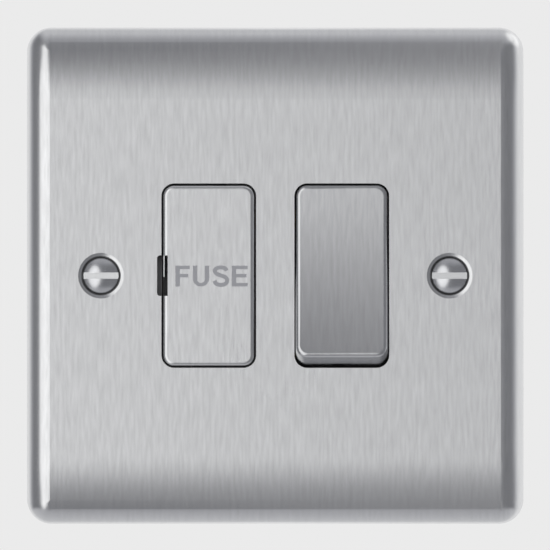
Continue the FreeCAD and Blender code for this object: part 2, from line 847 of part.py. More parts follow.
def fuse_clip(side):
    """A spring clip: a bridge behind the fuse, and two jaws that flare at their mouths."""
    z = side * (fuse_length / 2 - fuse_cap_length / 2)
    half = clip_width / 2
    gap = fuse_radius + loose_clearance
    bridge_y = fuse_axis_y + fuse_radius + clip_floor_gap
    mouth_y = fuse_axis_y - clip_grip_past_axis
    flare = clip_lip_length * math.sin(math.radians(clip_lip_angle))
    tip_y = mouth_y - clip_lip_length * math.cos(math.radians(clip_lip_angle))
    inner = [(gap, bridge_y), (gap, mouth_y), (gap + flare, tip_y)]
    outer = [(x + clip_sheet, y) for x, y in reversed(inner)]
    outer[-1] = (gap + clip_sheet, bridge_y + clip_sheet)
    right = inner + outer
    left = [(-x, y) for x, y in reversed(right)]
    corners = [Vector(fuse_x + x, y, z - half) for x, y in right + left]
    return Part.Face(Part.makePolygon(corners + corners[:1])).extrude(Vector(0, 0, clip_width))


# The rocker, at OFF.


def rocker_form(inset):
    """The rocker's form about its pivot, upright: a hollowed face and ends round the pivot."""
    end_radius = rocker_end_radius - inset
    hollow_radius = rocker_face_radius + inset
    hollow_centre = -(rocker_face_height + rocker_face_radius)
    edge_y = (end_radius**2 - hollow_radius**2 + hollow_centre**2) / (2 * hollow_centre)
    edge_z = math.sqrt(end_radius**2 - edge_y**2)
    back_y = rocker_skirt_back
    back_z = math.sqrt(end_radius**2 - back_y**2)
    half_w = cap_width / 2 - inset

    def point(y, z):
        return Vector(rocker_x - half_w, y + rocker_pivot_y, z)

    def end_mid(side):
        mid_y = (edge_y + back_y) / 2
        return point(mid_y, side * math.sqrt(end_radius**2 - mid_y**2))

    outline = Part.Wire(
        [
            Part.Arc(point(back_y, back_z), end_mid(1), point(edge_y, edge_z)).toShape(),
            Part.Arc(
                point(edge_y, edge_z), point(hollow_centre + hollow_radius, 0), point(edge_y, -edge_z)
            ).toShape(),
            Part.Arc(point(edge_y, -edge_z), end_mid(-1), point(back_y, -back_z)).toShape(),
            Part.LineSegment(point(back_y, -back_z), point(back_y, back_z)).toShape(),
        ]
    )
    form = Part.Face(outline).extrude(Vector(2 * half_w, 0, 0))
    ends = [e for e in form.Edges if abs(e.CenterOfMass.z) > edge_z]
    corners = [e for e in ends if abs(e.tangentAt(e.FirstParameter).x) < 0.5]
    form = form.makeFillet(cap_corner_radius - inset, corners)
    rim = [e for e in form.Edges if e.BoundBox.YMax < rocker_pivot_y - rocker_face_height / 2]
    return form.makeFillet(cap_edge_radius - inset, rim)


def behind(y):
    """Everything behind a plane, as a block larger than the part."""
    reach = plate_width
    return box(-reach, reach, y, y + reach, -reach, reach)


def rocker_cap():
    """The brushed metal cap that covers the rocker's face and folds over its edges."""
    cap = rocker_form(0).cut([rocker_form(cap_sheet), behind(rocker_roof_y)])
    return tilted(cap, -rocker_tilt, rocker_pivot_y)


def rocker_hollow(depth):
    """The space inside the rocker's walls, from its roof back."""
    half_w = cap_width / 2 - rocker_wall
    half_h = window_height / 2 - rocker_end_gap - 2 * rocker_wall
    end = rocker_roof_y + depth
    return box(rocker_x - half_w, rocker_x + half_w, rocker_roof_y, end, -half_h, half_h)


def trunnions():
    """The two pins that the rocker turns on, with a boss for each in the rocker's walls."""
    half_w = cap_width / 2
    half_span = half_w + trunnion_length
    pins = cylinder(trunnion_radius, (rocker_x - half_span, rocker_pivot_y, 0), (1, 0, 0), 2 * half_span)
    bosses = cylinder(trunnion_boss_radius, (rocker_x - half_w, rocker_pivot_y, 0), (1, 0, 0), 2 * half_w)
    return pins.fuse(bosses).cut(rocker_hollow(module_depth))


def plunger_tower(x):
    """The round tower that guides a plunger."""
    end = rocker_pivot_y + plunger_tower_length
    return cylinder(plunger_tower_radius, (x, rocker_roof_y, 0), (0, 1, 0), end - rocker_roof_y)


def plunger_bore(x):
    """The blind bore in a plunger tower, which ends in the rocker's roof."""
    start = (x, rocker_roof_y + rocker_wall, 0)
    return cylinder(plunger_bore_radius, start, (0, 1, 0), module_depth)


def rocker_body():
    """The rocker's moulding: a hollow shell with two plunger towers and two trunnions."""
    under_cap = rocker_form(cap_sheet).cut(behind(rocker_roof_y))
    skirt = rocker_form(0).common(behind(rocker_roof_y))
    shell = joined(under_cap, skirt).cut(rocker_hollow(module_depth))
    left, right = pole_xs.values()
    half_rib = rocker_rib / 2
    rib = box(left, right, rocker_roof_y, rocker_pivot_y, -half_rib, half_rib)
    towers = [plunger_tower(left), plunger_tower(right)]
    body = joined(shell, trunnions(), rib, *towers).cut([plunger_bore(left), plunger_bore(right)])
    return tilted(body, -rocker_tilt, rocker_pivot_y)


def plunger(x):
    """The round-nosed plunger that pushes a contact arm over."""
    nose = rocker_pivot_y + plunger_reach
    foot = (x, nose - plunger_length, 0)
    bar = cylinder(plunger_radius, foot, (0, 1, 0), plunger_length - plunger_radius)
    ball = Part.makeSphere(plunger_radius, Vector(x, nose - plunger_radius, 0))
    return tilted(joined(bar, ball), -rocker_tilt, rocker_pivot_y)


def plunger_spring(x):
    """The coil spring between a plunger and the roof of its bore."""
    top = rocker_roof_y + rocker_wall
    foot = rocker_pivot_y + plunger_reach - plunger_length
    height = foot - top - 2 * spring_wire_radius
    helix = Part.makeHelix(height / spring_turns, height, spring_coil_radius)
    start = Vector(spring_coil_radius, 0, 0)
    section = Part.Wire(Part.makeCircle(spring_wire_radius, start, Vector(0, 1, 0)))
    coil = Part.Wire(helix).makePipeShell([section], True, True)
    coil.rotate(Vector(0, 0, 0), ABOUT_X, -90)
    coil.translate(Vector(x, top + spring_wire_radius, 0))
    return tilted(coil, -rocker_tilt, rocker_pivot_y)


def group(shapes):
    """Several separate solids that share one node."""
    return Part.makeCompound([solid for shape in shapes for solid in shape.Solids])


def all_nodes():
    """Every sub-part by the name of its node."""
    nodes = {
        "front_plate": front_plate(),
        "fixing_screws": group([fixing_screw(side * fixing_pitch / 2) for side in SIDES]),
        "plate_bushes": group(at_screw_corners(plate_bush)),
        "module_screws": group(at_screw_corners(module_screw)),
        "insert_frame": insert_frame(),
        "terminal_base": terminal_base(),
        "earth_strap": earth_strap(),
        "terminal_screws": group([clamp_screw(x, side) for x, side in terminal_places().values()]),
        "fixed_contact_tips": group([fixed_tip(x) for x in pole_xs.values()]),
        "upper_fuse_clip": fuse_clip(1),
        "lower_fuse_clip": fuse_clip(-1),
        "fuse_drawer_cap": fuse_drawer_cap(),
        "fuse_drawer_body": fuse_drawer_body(),
        "fuse_tube": fuse_tube(),
        "fuse_upper_cap": fuse_end_cap(1),
        "fuse_lower_cap": fuse_end_cap(-1),
        "fuse_wire": fuse_wire(),
        "rocker_cap": rocker_cap(),
        "rocker_body": rocker_body(),
    }
    for name, (x, side) in terminal_places().items():
        nodes[name] = terminal(x, side)
    for name, strip in flat_conductors().items():
        nodes[name] = conductor(strip)
    for pole, x in pole_xs.items():
        nodes[f"{pole}_plunger"] = plunger(x)
        nodes[f"{pole}_plunger_spring"] = plunger_spring(x)
        nodes[f"{pole}_contact_arm"] = contact_arm(x)
        nodes[f"{pole}_moving_tip"] = moving_tip(x)
    return nodes


os.makedirs("parts", exist_ok=True)
for name, shape in all_nodes().items():
    shape.exportStep(f"parts/{name}.step")
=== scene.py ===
import math

import bmesh
import bpy
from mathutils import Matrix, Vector


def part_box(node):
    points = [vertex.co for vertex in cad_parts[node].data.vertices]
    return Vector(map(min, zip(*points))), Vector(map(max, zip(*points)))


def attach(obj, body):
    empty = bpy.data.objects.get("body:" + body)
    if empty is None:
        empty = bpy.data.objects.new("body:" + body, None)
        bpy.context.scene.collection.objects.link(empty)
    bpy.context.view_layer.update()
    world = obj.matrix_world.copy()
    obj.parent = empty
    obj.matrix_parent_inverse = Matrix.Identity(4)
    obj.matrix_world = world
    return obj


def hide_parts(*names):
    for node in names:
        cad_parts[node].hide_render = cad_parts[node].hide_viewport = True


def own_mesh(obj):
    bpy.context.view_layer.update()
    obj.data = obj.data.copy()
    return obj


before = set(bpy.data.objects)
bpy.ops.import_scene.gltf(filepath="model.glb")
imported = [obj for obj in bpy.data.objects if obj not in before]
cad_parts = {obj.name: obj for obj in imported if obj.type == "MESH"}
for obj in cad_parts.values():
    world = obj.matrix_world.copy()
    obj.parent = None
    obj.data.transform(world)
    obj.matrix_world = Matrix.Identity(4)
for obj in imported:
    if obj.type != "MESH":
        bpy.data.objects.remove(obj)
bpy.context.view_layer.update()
MM = 0.001

# The front plate is one sheet of stainless steel, pressed so that its top and bottom bow back
# and its rim turns to the wall. The face is brushed upright on a belt, which leaves fine streaks
# from the bottom to the top. They smear each reflection sideways and are fainter on the bends.


class Wire:
    """A socket of a finish's node tree. Python's operators on it add Math nodes."""

    def __init__(self, tree, socket=None):
        self.tree = tree
        self.socket = socket

    def node(self, kind, settings=None, inputs=None, output=0):
        """Adds a node, sets it up, fills or links its sockets and returns one of its outputs."""
        made = self.tree.nodes.new(kind)
        for name, value in (settings or {}).items():
            setattr(made, name, value)
        for name, value in (inputs or {}).items():
            if isinstance(value, Wire):
                self.tree.links.new(value.socket, made.inputs[name])
            else:
                made.inputs[name].default_value = value
        return Wire(self.tree, made.outputs[output] if made.outputs else None)

    def math(self, operation, *values):
        """A Math node on these values, in this order."""
        return self.node("ShaderNodeMath", {"operation": operation}, dict(enumerate(values)))

    def larger(self, other):
        """The larger of this wire and another."""
        return self.math("MAXIMUM", self, other)

    def faded(self, start, end, kind="SMOOTHSTEP"):
        """Goes from 0 where this wire is at start to 1 where it is at end, and no further."""
        sockets = {"Value": self, "From Min": start, "From Max": end}
        return self.node("ShaderNodeMapRange", {"interpolation_type": kind}, sockets)

    def __abs__(self):
        return self.math("ABSOLUTE", self)

    def __add__(self, other):
        return self.math("ADD", self, other)

    __radd__ = __add__

    def __mul__(self, other):
        return self.math("MULTIPLY", self, other)

    __rmul__ = __mul__

    def __sub__(self, other):
        return self.math("SUBTRACT", self, other)

    def __rsub__(self, other):
        return self.math("SUBTRACT", other, self)


def new_finish(name):
    """An empty material, and a wire to start its nodes from."""
    material = bpy.data.materials.new(name)
    material.use_nodes = True
    material.node_tree.nodes.clear()
    return material, Wire(material.node_tree)


def close_finish(bench, **sockets):
    """Ends a finish in one shader with these socket values and links."""
    values = {name.replace("_", " "): value for name, value in sockets.items()}
    shader = bench.node("ShaderNodeBsdfPrincipled", inputs=values)
    bench.node("ShaderNodeOutputMaterial", inputs={"Surface": shader})


def placed(bench, axis):
    """Where a point of the piece lies along one axis, in metres."""
    place = bench.node("ShaderNodeTexCoord", output="Object")
    return bench.node("ShaderNodeSeparateXYZ", inputs={0: place}, output=axis)


def grain(bench, cells, detail=2.0, roughness=0.5):
    """Noise from 0 to 1 with its middle at 0.5, and this many cells to a metre on x, y and z."""
    place = bench.node("ShaderNodeTexCoord", output="Object")
    spread = bench.node("ShaderNodeVectorMath", {"operation": "MULTIPLY"}, {0: place, 1: cells})
    sockets = {"Vector": spread, "Scale": 1.0, "Detail": detail, "Roughness": roughness}
    return bench.node("ShaderNodeTexNoise", inputs=sockets)


def tinted(bench, dark, light, factor):
    """A colour between two fixed colours or wires, by a factor from 0 to 1."""
    dark, light = [end if isinstance(end, Wire) else (*end, 1) for end in (dark, light)]
    sockets = {0: factor, 6: dark, 7: light}
    return bench.node("ShaderNodeMix", {"data_type": "RGBA"}, sockets, output=2)


def bumped(bench, height, distance):
    """A normal that follows a height, where 1 stands this many metres above 0."""
    sockets = {"Strength": 1.0, "Distance": distance, "Height": height}
    return bench.node("ShaderNodeBump", inputs=sockets)


screw_pitch = 60.3 * MM
bore_radius = 3.42 * MM
bore_mouth = -6.33 * MM
# Painted shade: the dark grey given to the steel inside the bores, where the gap round each screw
# head lies in shadow.
painted_bore_shade_grey = (0.24, 0.24, 0.24)
streak_cells = (1900, 300, 225)
edge_streak_cells = (300, 1900, 225)
broad_cells = (420, 420, 100)
streak_share, broad_share = 0.93, 0.07
streak_on_bends = 0.35


def screw_bore_shade_mask(bench):
    """1 inside the two bores round the fixing screws, where the steel gets a painted shade, and 0
    elsewhere.
    """
    across = abs(placed(bench, "X")) - screw_pitch / 2
    height = placed(bench, "Z")
    reach = across.math("SQRT", across * across + height * height)
    inside = reach.faded(bore_radius + 0.02 * MM, bore_radius - 0.02 * MM, "LINEAR")
    depth = placed(bench, "Y")
    return inside * depth.faded(bore_mouth - 0.03 * MM, bore_mouth + 0.03 * MM, "LINEAR")


def brushed_steel(name, tone, contrast, bores=None):
    """Stainless steel brushed upright, and painted dark grey as shade where bores gives 1."""
    material, bench = new_finish(name)
    fine = grain(bench, streak_cells)
    side = grain(bench, edge_streak_cells)
    facing = bench.node("ShaderNodeNewGeometry", output="Normal")
    turned = abs(bench.node("ShaderNodeSeparateXYZ", inputs={0: facing}, output="X"))
    forward = bench.node("ShaderNodeSeparateXYZ", inputs={0: facing}, output="Y")
    streak = fine + turned.faded(0.6, 0.8) * (side - fine) - 0.5
    on_flat = forward.faded(-0.90, -0.99)
    streak = streak * (streak_on_bends + (1 - streak_on_bends) * on_flat)
    broad = grain(bench, broad_cells, 1.0) - 0.5
    light = 0.5 + streak * streak_share + broad * broad_share
    dark_tone = [c * (1 - contrast) for c in tone]
    light_tone = [c * (1 + contrast) for c in tone]
    brushed = tinted(bench, dark_tone, light_tone, light)
    # Painted shade in the bores round the screw heads.
    if bores:
        brushed = tinted(bench, brushed, painted_bore_shade_grey, bores(bench))
    close_finish(
        bench,
        Base_Color=brushed,
        Metallic=1.0,
        Roughness=0.245 - light * 0.05,
        Anisotropic=0.6,
        Normal=bumped(bench, streak, 0.0000008),
    )
    return material


def dress(finish, *names):
    """Gives CAD pieces their finish."""
    for name in names:
        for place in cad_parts[name].material_slots:
            place.material = finish


plate_steel = brushed_steel("brushed_plate_steel", (0.645, 0.648, 0.654), 0.18, screw_bore_shade_mask)
dress(plate_steel, "front_plate")

# Four bushes are welded to the back of the plate, and four cheese-head screws come through the
# module into them. Both are turned from mild steel and zinc plated, with a faint warm bloom.


def zinc_plating(name):
    """Bright zinc: silver with a faint yellow and blue bloom and fine turning marks."""
    material, bench = new_finish(name)
    bloom = grain(bench, [260] * 3, 3.0, 0.6)
    marks = grain(bench, (1200, 9000, 1200), 2.0, 0.6)
    close_finish(
        bench,
        Base_Color=tinted(bench, (0.60, 0.61, 0.66), (0.72, 0.70, 0.62), bloom),
        Metallic=1.0,
        Roughness=marks * 0.16 + 0.24,
        Normal=bumped(bench, marks, 0.000004),
    )
    return material


zinc = zinc_plating("zinc_plating")
dress(zinc, "plate_bushes", "module_screws", "terminal_screws")

# The insert frame fills the space behind the plate. It is one charcoal moulding with the wells
# for the drawer and the rocker, spark eroded in the mould to a fine matt face.


def matt_moulding(name, dark, light, shine):
    """Moulded plastic with a spark-eroded face: a fine grain and faint broad flow marks."""
    material, bench = new_finish(name)
    pits = grain(bench, [5200] * 3, 3.0, 0.65)
    flow = grain(bench, (90, 140, 60), 3.0, 0.55)
    close_finish(
        bench,
        Base_Color=tinted(bench, dark, light, flow * 0.7 + pits * 0.3),
        Roughness=pits * 0.14 + shine,
        Specular_IOR_Level=0.45,
        Normal=bumped(bench, pits, 0.000012),
    )
    return material


charcoal = matt_moulding("charcoal_moulding", (0.14, 0.14, 0.144), (0.19, 0.19, 0.195), 0.42)
dress(charcoal, "insert_frame")

# The terminal base is the rear half of the module. It is moulded in pale grey urea, which takes
# the heat of the contacts, and holds the terminals, the clips and the flat conductors.
pale_grey = matt_moulding("pale_grey_urea", (0.66, 0.66, 0.64), (0.76, 0.76, 0.74), 0.34)
dress(pale_grey, "terminal_base")

# The earth strap is cut and folded from brass strip. It joins the plate to both earth
# terminals, and runs over the top and the bottom of the module.


def rolled_brass(name, dark, light):
    """Brass strip as it comes from the rolls, with rolling lines and a little tarnish."""
    material, bench = new_finish(name)
    lines = grain(bench, (5200, 5200, 120), 2.0, 0.6)
    tarnish = grain(bench, [210] * 3, 4.0, 0.6)
    close_finish(
        bench,
        Base_Color=tinted(bench, dark, light, tarnish * 0.8 + lines * 0.2),
        Metallic=1.0,
        Roughness=lines * 0.16 + tarnish * 0.10 + 0.20,
        Normal=bumped(bench, lines, 0.000003),
    )
    return material


strip_brass = rolled_brass("rolled_strip_brass", (0.66, 0.46, 0.22), (0.86, 0.68, 0.42))
dress(strip_brass, "earth_strap")

# Six terminals are sawn from drawn brass bar and drilled for the wire and the clamping screw.
# The saw and the drill leave fine marks across them.


def machined_brass(name):
    """Drawn brass bar: brighter than strip, with saw marks and rubbed edges."""
    material, bench = new_finish(name)
    marks = grain(bench, (900, 6000, 6000), 2.0, 0.6)
    patches = grain(bench, [330] * 3, 3.0, 0.55)
    close_finish(
        bench,
        Base_Color=tinted(bench, (0.70, 0.53, 0.26), (0.88, 0.73, 0.44), patches),
        Metallic=1.0,
        Roughness=marks * 0.18 + 0.18,
        Normal=bumped(bench, marks, 0.000005),
    )
    return material


bar_brass = machined_brass("machined_bar_brass")
dress(bar_brass, "live_in_terminal", "neutral_in_terminal", "earth_in_terminal")
dress(bar_brass, "live_out_terminal", "neutral_out_terminal", "earth_out_terminal")

# Flat conductors lie on the floor of the base and join the terminals to the fuse clips and the
# contacts. They are blanked from the same brass strip as the earth strap.
dress(strip_brass, "live_in_strip", "neutral_in_strip", "live_link_strip")
dress(strip_brass, "live_out_strip", "neutral_out_strip")

# The two clips that grip the fuse are folded from phosphor bronze, which is redder than brass
# and stays springy.
dress(
    rolled_brass("phosphor_bronze", (0.62, 0.38, 0.22), (0.82, 0.58, 0.40)),
    "upper_fuse_clip",
    "lower_fuse_clip",
)

# Each contact arm is a brass see-saw on a post, and closes a silver tip on a fixed one. The
# tips are silver alloy rivets, satin and slightly grey.


def silver_alloy(name):
    """Contact silver: satin, with soft grey patches."""
    material, bench = new_finish(name)
    patches = grain(bench, [900] * 3, 3.0, 0.6)
    close_finish(
        bench,
        Base_Color=tinted(bench, (0.74, 0.73, 0.70), (0.90, 0.89, 0.87), patches),
        Metallic=1.0,
        Roughness=patches * 0.16 + 0.26,
        Normal=bumped(bench, patches, 0.000004),
    )
    return material


dress(strip_brass, "live_contact_arm", "neutral_contact_arm")
dress(silver_alloy("contact_silver"), "live_moving_tip", "neutral_moving_tip", "fixed_contact_tips")

# The fuse drawer's moulding holds the cartridge fuse in a cradle and slides on two hooked arms.
# It is moulded in black nylon, a shade darker than the insert frame.
black = matt_moulding("black_nylon", (0.018, 0.018, 0.019), (0.034, 0.034, 0.036), 0.40)
dress(black, "fuse_drawer_body")

# The cartridge fuse is a ceramic tube with sand and a thin wire inside, closed by two pressed
# caps with nickel plating.
# Painted highlight: the paler nickel given to the slots across the fixing screws' heads.
painted_slot_highlight_nickel = (0.76, 0.765, 0.77)


def unglazed_ceramic(name):
    """Off-white fired ceramic with a fine tooth and faint warm specks."""
    material, bench = new_finish(name)
    tooth = grain(bench, [4200] * 3, 4.0, 0.6)
    cloud = grain(bench, [380] * 3, 3.0, 0.6)
    close_finish(
        bench,
        Base_Color=tinted(bench, (0.74, 0.70, 0.60), (0.85, 0.83, 0.76), cloud * 0.6 + tooth * 0.4),
        Roughness=tooth * 0.18 + 0.50,
        Normal=bumped(bench, tooth, 0.00001),
    )
    return material


def nickel_plating(name, dark, light, shine, highlight=None):
    """Bright nickel over brass, with the faint ripple under it, and a paler painted highlight where
    the given mask gives 1.
    """
    material, bench = new_finish(name)
    ripple = grain(bench, [620] * 3)
    wipes = grain(bench, (2600, 2600, 700), 2.0, 0.6)
    plated = tinted(bench, dark, light, ripple)
    # Painted highlight: paler nickel where the mask gives 1.
    if highlight:
        plated = tinted(bench, plated, painted_slot_highlight_nickel, highlight(bench))
    close_finish(
        bench,
        Base_Color=plated,
        Metallic=1.0,
        Roughness=wipes * 0.10 + shine,
        Normal=bumped(bench, ripple, 0.000003),
    )
    return material


def drawn_wire(name):
    """Hard drawn steel wire: grey, with draw lines along it."""
    material, bench = new_finish(name)
    lines = grain(bench, [3000] * 3, 3.0, 0.6)
    close_finish(
        bench,
        Base_Color=tinted(bench, (0.46, 0.46, 0.47), (0.62, 0.62, 0.62), lines),
        Metallic=1.0,
        Roughness=lines * 0.20 + 0.22,
        Normal=bumped(bench, lines, 0.000003),
    )
    return material


wire_steel = drawn_wire("drawn_spring_steel")
dress(unglazed_ceramic("fuse_ceramic"), "fuse_tube")
cap_nickel = nickel_plating("fuse_cap_nickel", (0.70, 0.69, 0.66), (0.82, 0.81, 0.79), 0.14)
dress(cap_nickel, "fuse_upper_cap", "fuse_lower_cap")
dress(wire_steel, "fuse_wire")

# The drawer's cap is pressed from the plate's own steel and snapped over the moulding. The word
# on it is one pass of grey ink, printed about 0.02 mm thick through a screen.
dress(brushed_steel("brushed_drawer_steel", (0.653, 0.656, 0.662), 0.20), "fuse_drawer_cap")
ink_thickness = 0.02 * MM

# The letters' own sizes and places on the cap's face, in millimetres: stems and bars of the F
# and E, the bowl of the U, and the line that the pen of the S follows.
stem = 0.78
bar = 0.60
letter_top = 1.72
letter_foot = -1.87
middle_bar_top = 0.30
f_left, f_width, f_middle_width = -17.27, 2.48, 2.22
e_left, e_width, e_middle_width = -7.53, 2.74, 2.54
u_centre, u_reach, u_bowl = -12.85, 1.03, 1.02
bowl_steps = 20
s_centre = Vector((-9.41, -0.08))
s_stroke = 0.70
s_steps = 6
s_bends = [(0.99, 0.92), (0.72, 1.34), (0.0, 1.52), (-0.78, 1.33), (-1.05, 0.88)]
s_bends += [(-0.70, 0.40), (0.02, 0.10), (0.76, -0.18), (1.10, -0.74), (0.80, -1.31)]
s_bends += [(0.0, -1.52), (-0.78, -1.33), (-1.08, -0.80)]


def rounded_through(points, steps):
    """A smooth line through these points: each span is a cubic that leaves along its neighbours."""
    padded = [points[0]] + points + [points[-1]]
    line = []
    for before, start, end, after in zip(padded, padded[1:], padded[2:], padded[3:]):
        for step in range(steps):
            t = step / steps
            line.append(
                0.5 * (2 * start + (end - before) * t)
                + 0.5 * (2 * before - 5 * start + 4 * end - after) * t**2
                + 0.5 * (3 * start - before - 3 * end + after) * t**3
            )
    return line + [points[-1]]


def stroke_outline(line, widths):
    """The outline of a pen stroke along a line, with a width for each point."""
    left, right = [], []
    for i, point in enumerate(line):
        along = (line[min(i + 1, len(line) - 1)] - line[max(i - 1, 0)]).normalized()
        across = Vector((-along.y, along.x)) * widths[i] / 2
        left.append(point + across)
        right.append(point - across)
    return left, right


def walled(shape, rings):
    """Joins each ring of points to the next, and closes the first and the last with a face."""
    for low, high in zip(rings, rings[1:]):
        for i in range(len(low)):
            j = (i + 1) % len(low)
            shape.faces.new((low[i], low[j], high[j], high[i]))
    shape.faces.new(rings[0])
    shape.faces.new(rings[-1])


def inked_stroke(ink, line, widths, face):
    """One pen stroke as a thin solid strip on the face."""
    rows = []
    for a, b in zip(*stroke_outline(line, widths)):
        corners = [(a, 0), (b, 0), (b, -ink_thickness), (a, -ink_thickness)]
        rows.append([ink.verts.new((p.x * MM, face + lift, p.y * MM)) for p, lift in corners])
    walled(ink, rows)


def inked_outline(ink, corners, face):
    """A letter with straight sides as a thin solid on the face."""
    rings = []
    for lift in (0, -ink_thickness):
        rings.append([ink.verts.new((x * MM, face + lift, z * MM)) for x, z in corners])
    walled(ink, rings)


def barred_letter(left, width, middle_width, foot_bar):
    """The outline of an F, or of an E where it has a foot bar."""
    right = left + width
    middle = left + middle_width
    inner = left + stem
    corners = [(left, letter_foot), (left, letter_top), (right, letter_top)]
    corners += [(right, letter_top - bar), (inner, letter_top - bar), (inner, middle_bar_top)]
    corners += [(middle, middle_bar_top), (middle, middle_bar_top - bar)]
    corners += [(inner, middle_bar_top - bar)]
    if foot_bar:
        foot = letter_foot + bar
        return corners + [(inner, foot), (right, foot), (right, letter_foot)]
    return corners + [(inner, letter_foot)]


def closed_mesh(shape, name):
    """Turns all faces of a shape outwards and makes a mesh of it."""
    bmesh.ops.recalc_face_normals(shape, faces=shape.faces)
    mesh = bpy.data.meshes.new(name)
    shape.to_mesh(mesh)
    shape.free()
    return mesh


def add_piece(name, mesh, finish):
    """A new piece in the scene, with this mesh and finish."""
    mesh.materials.append(finish)
    piece = bpy.data.objects.new(name, mesh)
    bpy.context.scene.collection.objects.link(piece)
    return piece


def print_word(face):
    """The word FUSE in ink, letter by letter."""
    ink = bmesh.new()
    inked_outline(ink, barred_letter(f_left, f_width, f_middle_width, False), face)
    inked_outline(ink, barred_letter(e_left, e_width, e_middle_width, True), face)
    bowl_middle = letter_foot + bar / 2 + u_bowl
    turns = [math.pi * i / bowl_steps for i in range(bowl_steps + 1)]
    line = [Vector((u_centre - u_reach, letter_top))]
    for turn in turns:
        x = u_centre - u_reach * math.cos(turn)
        line.append(Vector((x, bowl_middle - u_bowl * math.sin(turn))))
    line.append(Vector((u_centre + u_reach, letter_top)))
    widths = [stem] + [stem - (stem - bar) * math.sin(turn) for turn in turns] + [stem]
    inked_stroke(ink, line, widths, face)
    snake = rounded_through([s_centre + Vector(bend) for bend in s_bends], s_steps)
    inked_stroke(ink, snake, [s_stroke] * len(snake), face)
    return closed_mesh(ink, "drawer_word")


def screen_ink(name):
    """Grey printing ink, a little uneven where the mesh of the screen let less through."""
    material, bench = new_finish(name)
    thin = grain(bench, [4800] * 3, 3.0, 0.6)
    close_finish(
        bench,
        Base_Color=tinted(bench, (0.230, 0.232, 0.248), (0.325, 0.328, 0.346), thin),
        Roughness=thin * 0.15 + 0.45,
        Specular_IOR_Level=0.35,
    )
    return material


word_mesh = print_word(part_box("fuse_drawer_cap")[0].y)
word = add_piece("drawer_word", word_mesh, screen_ink("grey_screen_ink"))
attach(word, "fuse_drawer")

# The rocker's moulding carries the trunnions and two towers. A round-nosed plunger slides in
# each tower and tips a contact arm from one side to the other.
dress(black, "rocker_body")
dress(
    matt_moulding("ivory_nylon", (0.62, 0.61, 0.56), (0.72, 0.71, 0.66), 0.30),
    "live_plunger",
    "neutral_plunger",
)

# A coil spring stands between each plunger and the roof of its tower, which leans 6.5 degrees
# with the rocker. It is wound from 0.4 mm wire, with one closed turn at each end.
spring_way = Vector((0, 0.9935719, -0.1132032))
spring_roof = Vector((0, -2.6864, 0.2376)) * MM
spring_length = 5.98 * MM
spring_radius = 0.95 * MM
spring_wire = 0.4 * MM
spring_turns = 4.5
coil_steps = 24
wire_corners = 10


def smooth_shaded(mesh, sharp_degrees):
    """Shades a mesh smoothly, but keeps edges that bend more than this many degrees."""
    mesh.polygons.foreach_set("use_smooth", [True] * len(mesh.polygons))
    mesh.set_sharp_from_angle(angle=math.radians(sharp_degrees))


def coil_spring(x):
    """A coil of round wire from the tower's roof towards the plunger, closed at both ends."""
    coil = bmesh.new()
    middle = spring_roof + Vector((x, 0, 0))
    sideways = spring_way.cross(Vector((1, 0, 0)))
    pitch = (spring_length - 3 * spring_wire) / spring_turns
    rings = []
    for i in range(int((spring_turns + 2) * coil_steps) + 1):
        turn = i / coil_steps
        open_turns = min(max(turn - 1, 0), spring_turns)
        height = spring_wire / 2 + spring_wire * (turn - open_turns) + pitch * open_turns
        angle = 2 * math.pi * turn
        outward = Vector((1, 0, 0)) * math.cos(angle) + sideways * math.sin(angle)
        centre = middle + spring_way * height + outward * spring_radius
        rings.append([])
        for k in range(wire_corners):
            bend = 2 * math.pi * k / wire_corners
            rim = outward * math.cos(bend) + spring_way * math.sin(bend)
            rings[-1].append(coil.verts.new(centre + rim * spring_wire / 2))
    walled(coil, rings)
    mesh = closed_mesh(coil, "plunger_coil")
    smooth_shaded(mesh, 50)
    return mesh


for pole, x in (("live", 7.3 * MM), ("neutral", 15.7 * MM)):
    spring = add_piece(f"{pole}_plunger_coil", coil_spring(x), wire_steel)
    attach(spring, "rocker")
    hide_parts(f"{pole}_plunger_spring")
    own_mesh(spring)

# The rocker's cap is pressed from the same sheet and crimped over the moulding. It is brushed
# upright along its hollowed face.
# Painted shade: the cap's steel is a darker tone than the plate's, for the shade on its tilted,
# hollowed face.
dress(brushed_steel("rocker_steel_painted_darker", (0.586, 0.589, 0.598), 0.18), "rocker_cap")

# Two raised countersunk M3.5 screws hold the unit to the wall box. They are turned brass with
# bright nickel plating, a sawn slot and a rolled thread with a pitch of 0.6 mm.
thread_pitch = 0.6 * MM
thread_root = 1.42 * MM
thread_crest = 1.75 * MM
thread_sunk = 0.02 * MM
thread_profile = [(0, -0.44), (1, -0.08), (1, 0.08), (0, 0.44)]
thread_steps = 36
point_radius = 0.95 * MM
point_length = 0.5 * MM
core_corners = 48
head_seat = -4.165 * MM
slot_half = 0.60 * MM
screw_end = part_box("fixing_screws")[1].y


def screw_head(side):
    """The CAD screw's head on one side, cut off where its cone meets the neck."""
    head = bmesh.new()
    head.from_mesh(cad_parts["fixing_screws"].data)
    bmesh.ops.remove_doubles(head, verts=head.verts, dist=1e-7)
    other = [v for v in head.verts if v.co.x * side < 0]
    bmesh.ops.delete(head, geom=other, context="VERTS")
    everything = head.verts[:] + head.edges[:] + head.faces[:]
    seat = (0, head_seat, 0)
    bmesh.ops.bisect_plane(
        head, geom=everything, plane_co=seat, plane_no=(0, 1, 0), clear_outer=True
    )
    bmesh.ops.holes_fill(head, edges=[e for e in head.edges if e.is_boundary])
    return head


def add_core(mesh, x, start, end):
    """The core of the shank, with a chamfered point."""
    shape = [(thread_root, start), (thread_root, end - point_length), (point_radius, end)]
    rings = []
    for radius, y in shape:
        turns = [2 * math.pi * i / core_corners for i in range(core_corners)]
        places = [(x + radius * math.cos(t), y, radius * math.sin(t)) for t in turns]
        rings.append([mesh.verts.new(place) for place in places])
    walled(mesh, rings)


